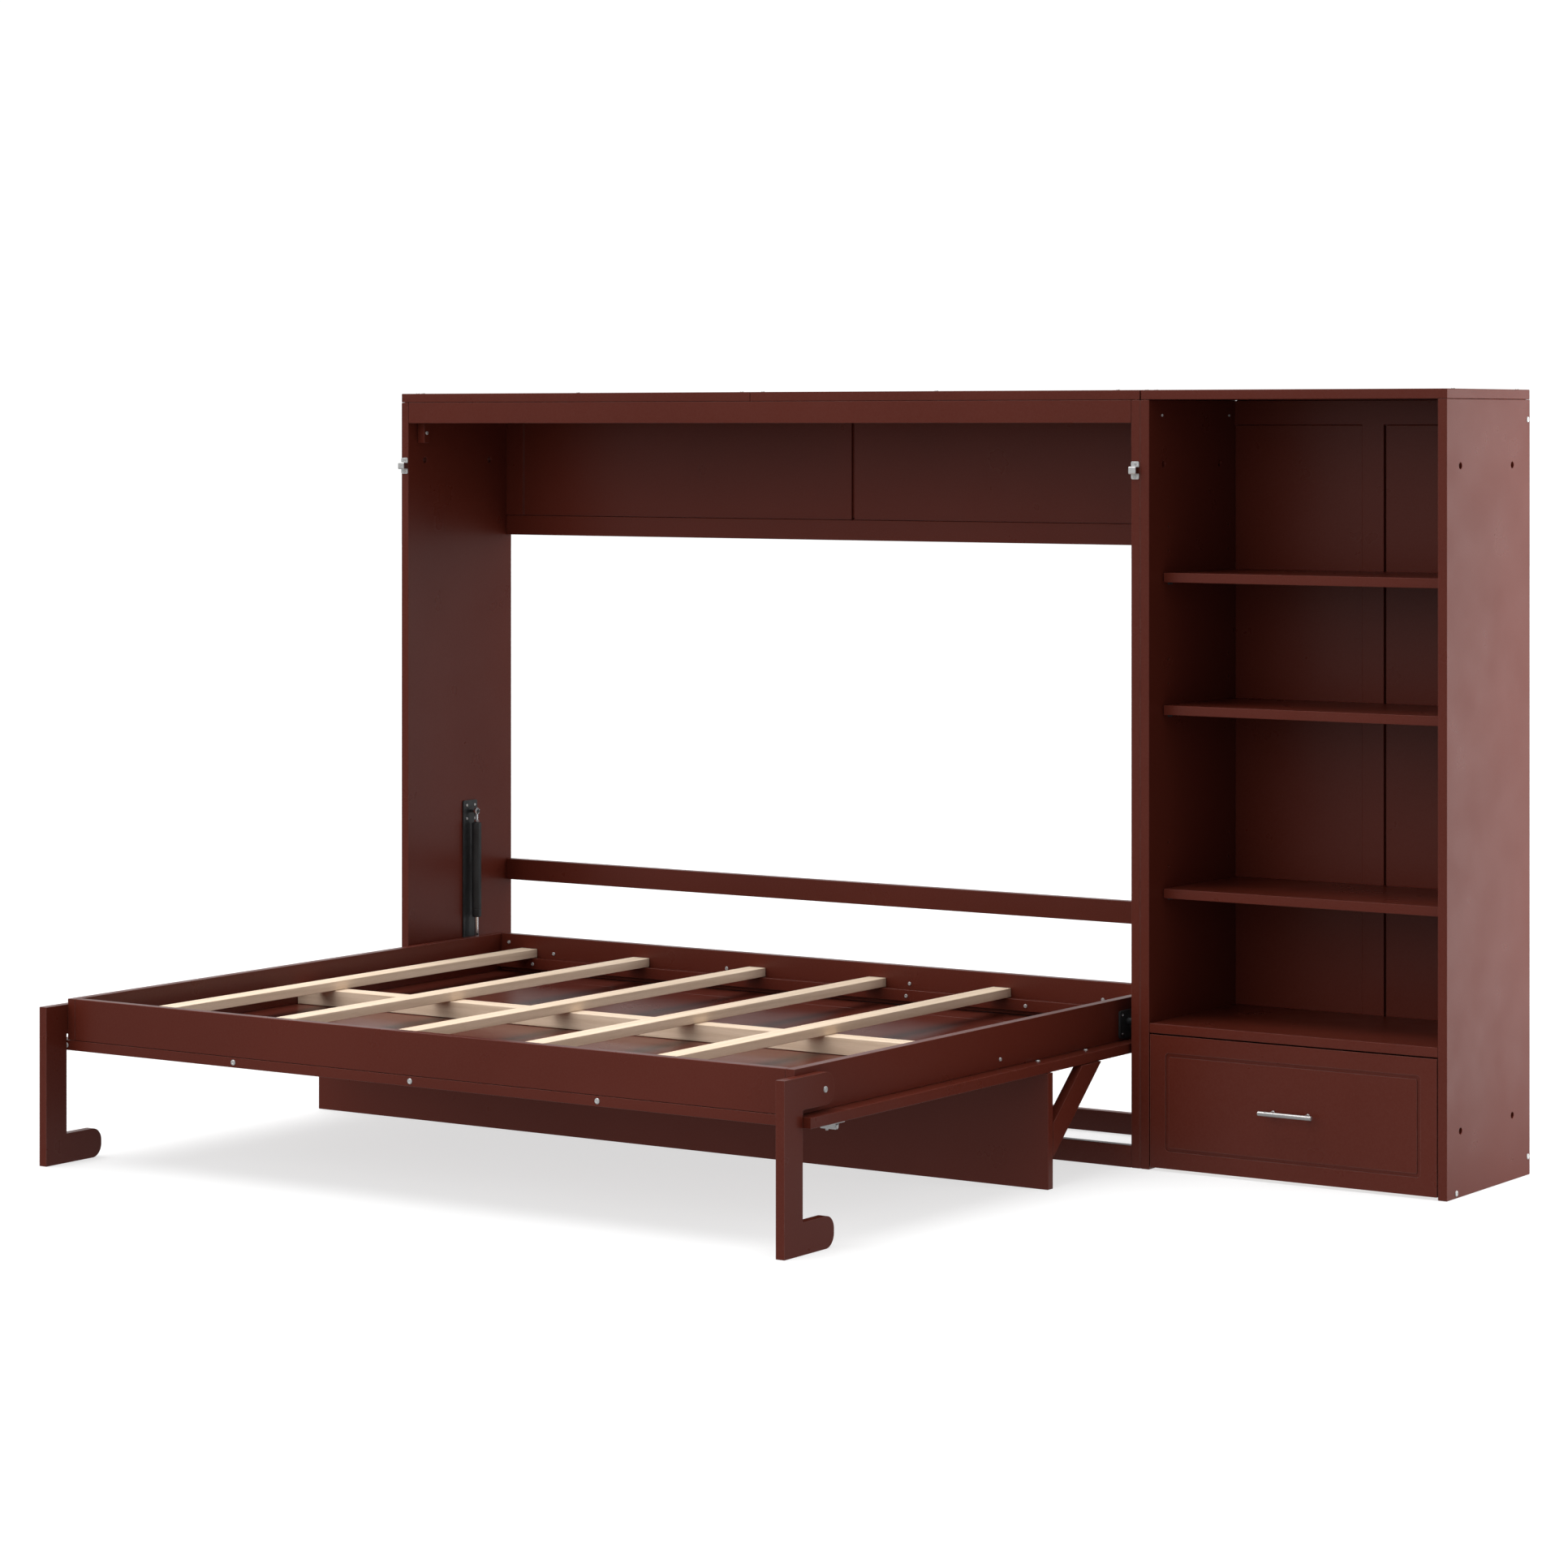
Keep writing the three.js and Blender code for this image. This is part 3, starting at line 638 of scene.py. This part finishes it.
def bed_screws():
    """Bolts of the bed frame, mirrored about its middle plane."""
    front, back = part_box("bed_front_rail"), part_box("bed_back_rail")
    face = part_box("face_panel")
    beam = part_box("centre_beam")
    ledgers = (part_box("slat_ledger_front"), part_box("slat_ledger_back"))
    middle = (face[0].x + face[1].x) / 2
    edge_z = (face[0].z + face[1].z) / 2
    bolts = [((middle + x, face[0].y, edge_z), FORWARD) for x in (-0.984, -0.492, 0, 0.492, 0.984)]
    heads("face_panel_bolts", "bed", bolts, 0.0062, 0.0022, recess=hex_recess, depth=0.35)

    inside = []
    for x, z in ((0.264, 0.326), (0.792, 0.326), (0.933, 0.347)):
        for sign in (-1, 1):
            inside.append(((middle + sign * x, back[0].y, z), FORWARD))
            inside.append(((middle + sign * x, front[1].y, z), BACKWARD))
    ledger_z = 0.299
    for x in (0.267, 0.596, 0.843):
        for sign in (-1, 1):
            inside.append(((middle + sign * x, ledgers[1][0].y, ledger_z), FORWARD))
            inside.append(((middle + sign * x, ledgers[0][1].y, ledger_z), BACKWARD))
    heads("bed_frame_bolts", "bed", inside, 0.0046, 0.0024)

    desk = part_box("desk_board")
    desk_y = (desk[0].y + desk[1].y) / 2
    brace_y = desk_y + 0.205
    beam_y, beam_z = (beam[0].y + beam[1].y) / 2, (beam[0].z + beam[1].z) / 2
    past_rail = 0.0105
    beam_ends, flange = [], []
    for side, sign in SIDES.items():
        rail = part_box(f"bed_{side}_rail")
        x = rail[1].x if sign > 0 else rail[0].x
        beam_ends.append(((x, beam_y, beam_z), RIGHT * sign))
        flange += [((x + sign * past_rail, y, face[1].z), UP) for y in (desk_y, brace_y)]
    heads("beam_end_bolts", "bed", beam_ends, 0.0044, 0.0026)
    heads("desk_screws", "bed", flange, 0.0048, 0.0022)


def leg_bolts():
    """Each leg turns on a bolt: a cross head outside, a washer and a lock nut inside the rail."""
    washer = [(0, 0), (0.0098, 0), (0.0098, 0.0014), (0, 0.0014)]
    nut = [(0, 0.0014), (0.0078, 0.0014), (0.0078, 0.0072), (0.0062, 0.0086), (0, 0.0086)]
    thread = [(0, 0.008), (0.0042, 0.008), (0.0042, 0.0112), (0.0034, 0.012), (0, 0.012)]
    for side, sign in SIDES.items():
        joint = JOINTS[f"leg_{side}_fold"]
        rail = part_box(f"bed_{side}_rail")
        inner = rail[0].x if sign > 0 else rail[1].x
        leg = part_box(f"leg_{side}")
        outer = leg[1].x if sign > 0 else leg[0].x
        _, y, z = joint["pos_m"]
        bm = bmesh.new()
        head(bm, (outer, y, z), RIGHT * sign, 0.0066, 0.0026, cross_recess, 0.8, 0.3)
        shank = abs(outer - inner)
        turned(bm, [(0, -0.001), (0.0048, -0.001), (0.0048, shank), (0, shank)],
               facing((outer, y, z), LEFT * sign))
        inside = facing((inner, y, z), LEFT * sign)
        turned(bm, washer, inside)
        turned(bm, nut, inside, 6)
        turned(bm, thread, inside)
        piece(f"leg_bolt_{side}", bm, "zinc_steel", "bed", 0.0003)


# ---------------------------------------------------------------- gas struts
def rod_end(bm, centre, axis_x, shank_to):
    """A rod end: a ring round a ball, with a shank that reaches the rod."""
    place = facing(centre, axis_x)
    radius, half, hole = EYE_RADIUS, 0.004, 0.0062
    turned(bm, [(hole, -half), (radius - 0.001, -half), (radius, -half + 0.0012), (radius, half - 0.0012),
                (radius - 0.001, half), (hole, half)], place, 32, closed=True)
    ball = [(0.0044, -half - 0.0008), (0.0052, -half), (0.0060, -0.0015), (0.0060, 0.0015),
            (0.0052, half), (0.0044, half + 0.0008)]
    turned(bm, ball, place, 32, closed=True)
    direction = UP if shank_to > centre.z else DOWN
    reach = abs(shank_to - centre.z)
    profile = [(0, radius - 0.0022), (0.0036, radius - 0.0022), (0.0042, radius + 0.002),
               (0.0042, reach - 0.0055), (0, reach - 0.0055)]
    turned(bm, profile, facing(centre, direction))
    nut = [(0, reach - 0.006), (0.0068, reach - 0.006), (0.0068, reach - 0.001), (0, reach - 0.001)]
    turned(bm, nut, facing(centre, direction), 6)


def strut_tube(side, x, y, low_z, top):
    """The tube with its open lower end, a groove near it and a rounded shoulder at the top."""
    outer, bore = 0.0119, 0.0056
    neck = outer - 0.0006
    profile = [(0, top - 0.012), (bore, top - 0.012), (bore, low_z + 0.0004),
               (outer - 0.0022, low_z + 0.0004), (outer, low_z + 0.0030),
               (outer, low_z + 0.020), (neck, low_z + 0.0206),
               (neck, low_z + 0.0222), (outer, low_z + 0.0228), (outer, top - 0.0035),
               (outer - 0.0012, top - 0.0012), (outer - 0.004, top), (0, top)]
    bm = bmesh.new()
    turned(bm, profile, facing((x, y, 0), UP), 40)
    tube = piece(f"strut_body_{side}", bm, "black_steel", f"strut_{side}", 0.0003)
    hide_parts(f"strut_tube_{side}")


def strut_rod(side, x, y):
    """The polished rod with the lower eye."""
    rod_low, rod_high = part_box(f"strut_rod_{side}")
    eye = Vector((x, y, rod_low.z + EYE_RADIUS))
    rod, end = 0.0048, rod_high.z
    start = eye.z + 0.0200
    bm = bmesh.new()
    profile = [(0, start), (rod, start), (rod, end - 0.001), (rod - 0.001, end), (0, end)]
    turned(bm, profile, facing((x, y, 0), UP), 32)
    rod_end(bm, eye, RIGHT, start + 0.001)
    rod_piece = piece(f"strut_piston_{side}", bm, "chrome", f"rod_{side}", 0.0002)
    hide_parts(f"strut_rod_{side}")


def gas_struts():
    for side in SIDES:
        low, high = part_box(f"strut_tube_{side}")
        x, y = (low.x + high.x) / 2, (low.y + high.y) / 2
        top_eye = Vector((x, y, high.z - EYE_RADIUS))
        tube_top = top_eye.z - 0.0275
        strut_tube(side, x, y, low.z, tube_top)
        bm = bmesh.new()
        rod_end(bm, top_eye, RIGHT, tube_top)
        piece(f"strut_upper_eye_{side}", bm, "chrome", f"strut_{side}", 0.0002)
        strut_rod(side, x, y)


# ---------------------------------------------------------------- slide bolts and keepers
def keeper_loop(metal, loop, reach):
    """The loop's outline: out, along and back, with round bends. X runs out from the panel's edge."""
    bend, inside = 0.0035, 0.0015
    half, clear = loop / 2, metal + inside
    outer = [(0, -half)] + arc(reach - bend, -half + bend, bend, -90, 0)
    outer += arc(reach - bend, half - bend, bend, 0, 90) + [(0, half)]
    inner = [(0, half - metal)] + arc(reach - clear, half - clear, inside, 90, 0)
    inner += arc(reach - clear, -half + clear, inside, 0, -90) + [(0, -half + metal)]
    return outer + inner


def keepers():
    """A strap on the bay's front edge: a round-cornered tab above and below a proud loop."""
    metal, loop, tab_radius, side_gap = 0.002, 0.017, 0.0035, 0.001
    out_from_edge = Matrix(((0, 0, 1, 0), (-1, 0, 0, 0), (0, 1, 0, 0), (0, 0, 0, 1)))
    for side in SIDES:
        low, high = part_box(f"keeper_{side}")
        width, reach = high.x - low.x, high.y - low.y
        middle = (low + high) / 2
        tab = (high.z - low.z - loop) / 2 + metal
        bm = bmesh.new()
        for sign in (-1, 1):
            centre = (middle.x, high.y, middle.z + sign * (loop / 2 + tab / 2 - metal))
            prism(bm, rounded(width, tab, tab_radius), metal, facing(centre, FORWARD))
        place = Matrix.Translation((low.x + side_gap, high.y, middle.z)) @ out_from_edge
        prism(bm, keeper_loop(metal, loop, reach), width - 2 * side_gap, place)
        strap = piece(f"keeper_strap_{side}", bm, "zinc_steel", "cabinet", 0.0003)
        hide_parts(f"keeper_{side}")
        screw_up = loop / 2 + tab / 2 - metal / 2
        screws = [((middle.x, high.y - metal, middle.z + sign * screw_up), FORWARD) for sign in (-1, 1)]
        heads(f"keeper_screws_{side}", "cabinet", screws, 0.0038, 0.0016)


def bolt_with_knob(side, sign, low, high):
    """The round bolt that slides out of the barrel, with its thumb knob hanging down."""
    tip = high.x if sign > 0 else low.x
    y = (low.y + high.y) / 2
    axis_z, radius, knob_back = high.z - BOLT_RADIUS, BOLT_RADIUS, 0.026
    length = high.x - low.x
    bm = bmesh.new()
    turned(bm, [(0, 0), (radius - 0.0012, 0), (radius, 0.0014), (radius, length - 0.0006),
                (radius - 0.0006, length), (0, length)], facing((tip, y, axis_z), LEFT * sign))
    turned(bm, [(0, 0), (0.0017, 0), (0.0017, 0.0050), (0.0030, 0.0055), (0.0031, 0.0082),
                (0.0024, 0.0090), (0, 0.0090)], facing((tip - sign * knob_back, y, axis_z), DOWN))
    bolt = piece(f"slide_bolt_{side}", bm, "zinc_steel", f"latch_{side}", 0.0002)
    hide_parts(f"latch_bolt_{side}")


def barrel_half(drop):
    """Half of the slotted barrel's outline: a foot on the plate, then round the bolt to the slot."""
    wall, slot_half, reach, foot = 0.0048, 0.0024, 0.0062, 0.0015
    outer_end = 90 + math.degrees(math.asin(slot_half / reach))
    inner_start = 90 + math.degrees(math.asin(slot_half / wall))
    outer = [(-0.0078, foot), (-reach, 0.0024), (-reach, drop)] + arc(0, drop, reach, 180, outer_end, 5)
    return outer + arc(0, drop, wall, inner_start, 180, 5) + [(-wall, foot)]


def slide_bolts():
    """A slide bolt in its slotted barrel, on a base plate under the face panel's end."""
    along_x = Matrix(((0, 0, 1, 0), (1, 0, 0, 0), (0, -1, 0, 0), (0, 0, 0, 1)))
    plate_size, plate_metal = (0.041, 0.058), 0.0016
    for side, sign in SIDES.items():
        low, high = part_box(f"latch_bolt_{side}")
        y = (low.y + high.y) / 2
        bolt_with_knob(side, sign, low, high)
        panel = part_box("face_panel")
        plate_top = panel[0].z
        edge = panel[1].x if sign > 0 else panel[0].x
        outer_end, inner_end = edge - sign * 0.004, edge - sign * 0.041
        middle_x = (outer_end + inner_end) / 2
        bm = bmesh.new()
        prism(bm, rounded(*plate_size, 0.004), plate_metal, facing((middle_x, y, plate_top), DOWN, BACKWARD))
        half = barrel_half(plate_top - (high.z - BOLT_RADIUS))
        start = Matrix.Translation((min(outer_end, inner_end), y, plate_top)) @ along_x
        for mirror in (-1, 1):
            prism(bm, [(mirror * px, pz) for px, pz in half], abs(outer_end - inner_end), start)
        piece(f"slide_bolt_barrel_{side}", bm, "zinc_steel", "bed", 0.0002)
        screws = [((middle_x + dx, y + dy, plate_top - plate_metal), DOWN)
                  for dx in (-0.014, 0.014) for dy in (-0.0205, 0.0205)]
        heads(f"slide_bolt_screws_{side}", "bed", screws, 0.0024, 0.0010)


# ---------------------------------------------------------------- drawer
def drawer_pull():
    """A round brushed bar on two posts, each with a small collar at the drawer front."""
    low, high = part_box("drawer_handle")
    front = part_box("drawer_front")[0].y
    radius, post = 0.005, 0.0034
    z = (low.z + high.z) / 2
    bar_y = low.y + radius
    bm = bmesh.new()
    length = high.x - low.x
    chamfer = 0.0007
    turned(bm, [(0, 0), (radius - chamfer, 0), (radius, chamfer), (radius, length - chamfer),
                (radius - chamfer, length), (0, length)], facing((low.x, bar_y, z), RIGHT), 32)
    reach = front - bar_y
    for offset in HANDLE_POSTS:
        foot = facing(((low.x + high.x) / 2 + offset, front, z), FORWARD)
        turned(bm, [(0, 0.0001), (0.0046, 0.0001), (0.0046, 0.0012), (post, 0.0020),
                    (post, reach - 0.002), (0, reach - 0.002)], foot, 24)
    pull = piece("drawer_pull", bm, "brushed_steel", "drawer", 0.0002)
    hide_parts("drawer_handle")


def runner_profile(depth, height, lip, metal):
    """A C section, open to +X: its back on the Y axis, and two lips that turn in."""
    half = height / 2
    return [(0, -half), (depth, -half), (depth, -half + lip), (depth - metal, -half + lip),
            (depth - metal, -half + metal), (metal, -half + metal), (metal, half - metal),
            (depth - metal, half - metal), (depth - metal, half - lip), (depth, half - lip),
            (depth, half), (0, half)]


def drawer_runners():
    """Two steel channels a side, one on the case and one on the drawer, that run in each other."""
    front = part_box("drawer_front")[1].y
    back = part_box("drawer_back")[1].y
    for side, sign in SIDES.items():
        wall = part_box(f"bookcase_{side}_panel")
        box_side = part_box(f"drawer_{side}_side")
        fixed_x = wall[1].x if sign < 0 else wall[0].x
        moving_x = box_side[0].x if sign < 0 else box_side[1].x
        z = (box_side[0].z + box_side[1].z) / 2
        start, length = front + 0.002, back - front - 0.004
        channels = (("fixed", "cabinet", fixed_x, -sign, (0.0105, 0.045, 0.006, 0.0012)),
                    ("moving", "drawer", moving_x, sign, (0.0098, 0.0305, 0.004, 0.0012)))
        for name, body, x, open_to, size in channels:
            along_y = Matrix(((open_to, 0, 0, 0), (0, 0, 1, 0), (0, 1, 0, 0), (0, 0, 0, 1)))
            bm = bmesh.new()
            prism(bm, runner_profile(*size), length, Matrix.Translation((x, start, z)) @ along_y)
            piece(f"runner_{name}_{side}", bm, "zinc_steel", body, 0.0003)


# ---------------------------------------------------------------- stage
def stage():
    half, gap = 40, 0.0005
    corners = [(-half, -half, 0), (half, -half, 0), (half, half, 0), (-half, half, 0)]
    floor = bpy.data.meshes.new("floor")
    floor.from_pydata(corners, [], [(0, 1, 2, 3)])
    obj = bpy.data.objects.new("floor", floor)
    obj.location.z = cad_box[0].z - gap
    bpy.context.scene.collection.objects.link(obj)
    s = Shader("pale_floor")
    cloud = s.ramp(s.noise(1.1, 2.0), 0.3, 0.7)
    s.set(Base_Color=s.mix(cloud, (0.35, 0.35, 0.35), (0.38, 0.38, 0.38)), Roughness=0.9)
    s.set(Emission_Color=(1.0, 1.0, 1.0), Emission_Strength=0.66)
    s.surface.inputs["Specular IOR Level"].default_value = 0.1
    floor.materials.append(s.material)
    obj.visible_glossy = False
    obj.visible_diffuse = False


def softbox(name, place, target, size, watts):
    light = bpy.data.lights.new(name, "AREA")
    light.shape = "RECTANGLE"
    light.size, light.size_y = size
    light.energy = watts
    obj = bpy.data.objects.new(name, light)
    obj.location = place
    obj.rotation_euler = (Vector(target) - Vector(place)).to_track_quat("-Z", "Y").to_euler()
    obj.visible_camera = False
    bpy.context.scene.collection.objects.link(obj)
    return obj


def ceiling(name, strength, spread, tilt):
    """A light so far off that it is even everywhere. It is tilted from straight above, and then turned."""
    light = bpy.data.lights.new(name, "SUN")
    light.energy = strength
    light.angle = math.radians(spread)
    obj = bpy.data.objects.new(name, light)
    obj.rotation_euler = (math.radians(tilt[0]), 0, math.radians(tilt[1]))
    bpy.context.scene.collection.objects.link(obj)
    return obj


def white_room():
    world = bpy.data.worlds.new("studio")
    bpy.context.scene.world = world
    world.use_nodes = True
    nodes, links = world.node_tree.nodes, world.node_tree.links
    path = nodes.new("ShaderNodeLightPath").outputs
    shade = nodes["Background"]
    shade.inputs["Strength"].default_value = ROOM_LIGHT
    for ray, strength in (("Is Glossy Ray", ROOM_GLOSS), ("Is Camera Ray", ROOM_WHITE)):
        other = nodes.new("ShaderNodeBackground")
        other.inputs["Strength"].default_value = strength
        mix = nodes.new("ShaderNodeMixShader")
        links.new(path[ray], mix.inputs[0])
        links.new(shade.outputs[0], mix.inputs[1])
        links.new(other.outputs[0], mix.inputs[2])
        shade = mix
    for node in nodes:
        if node.type == "BACKGROUND":
            node.inputs["Color"].default_value = (1, 1, 1, 1)
    links.new(shade.outputs[0], nodes["World Output"].inputs["Surface"])


def lighting():
    """Softboxes at the right and behind, one even light from above and one from the front left."""
    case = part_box("bookcase_right_panel")
    side = (case[0] + case[1]) / 2
    right = side + Vector((1.7, 3.4, 0.3))
    softbox("softbox_right", right, right + LEFT, (2.2, 3.4), 48)
    near = side + Vector((0.9, 0.7, 0.3))
    softbox("fill_right", near, near + LEFT, (1.8, 3.0), 51).visible_glossy = False
    softbox("softbox_back", (-6.0, 9.0, 2.6), (0, 0, 0.3), (10.0, 3.0), 45)
    ceiling("overhead", 2.9, 60, (13, -90))
    ceiling("front_key", 1.35, 60, (76, -20)).visible_glossy = False
    bpy.context.scene.view_settings.view_transform = "Standard"


def camera():
    data = bpy.data.cameras.new("camera")
    data.sensor_width = CAMERA_SENSOR
    data.lens = CAMERA_LENS
    data.shift_y = CAMERA_SHIFT
    obj = bpy.data.objects.new("camera", data)
    obj.location = CAMERA_PLACE
    obj.rotation_euler = (math.radians(90), 0, CAMERA_TURN)
    bpy.context.scene.collection.objects.link(obj)
    bpy.context.scene.camera = obj


camera()
stage()
white_room()
lighting()
dress_cad()
side_panels()
joint_tongues()
shelf_pins()
cabinet_screws()
stop_block_screws()
plate_screws()
bed_screws()
leg_bolts()
gas_struts()
keepers()
slide_bolts()
drawer_pull()
drawer_runners()
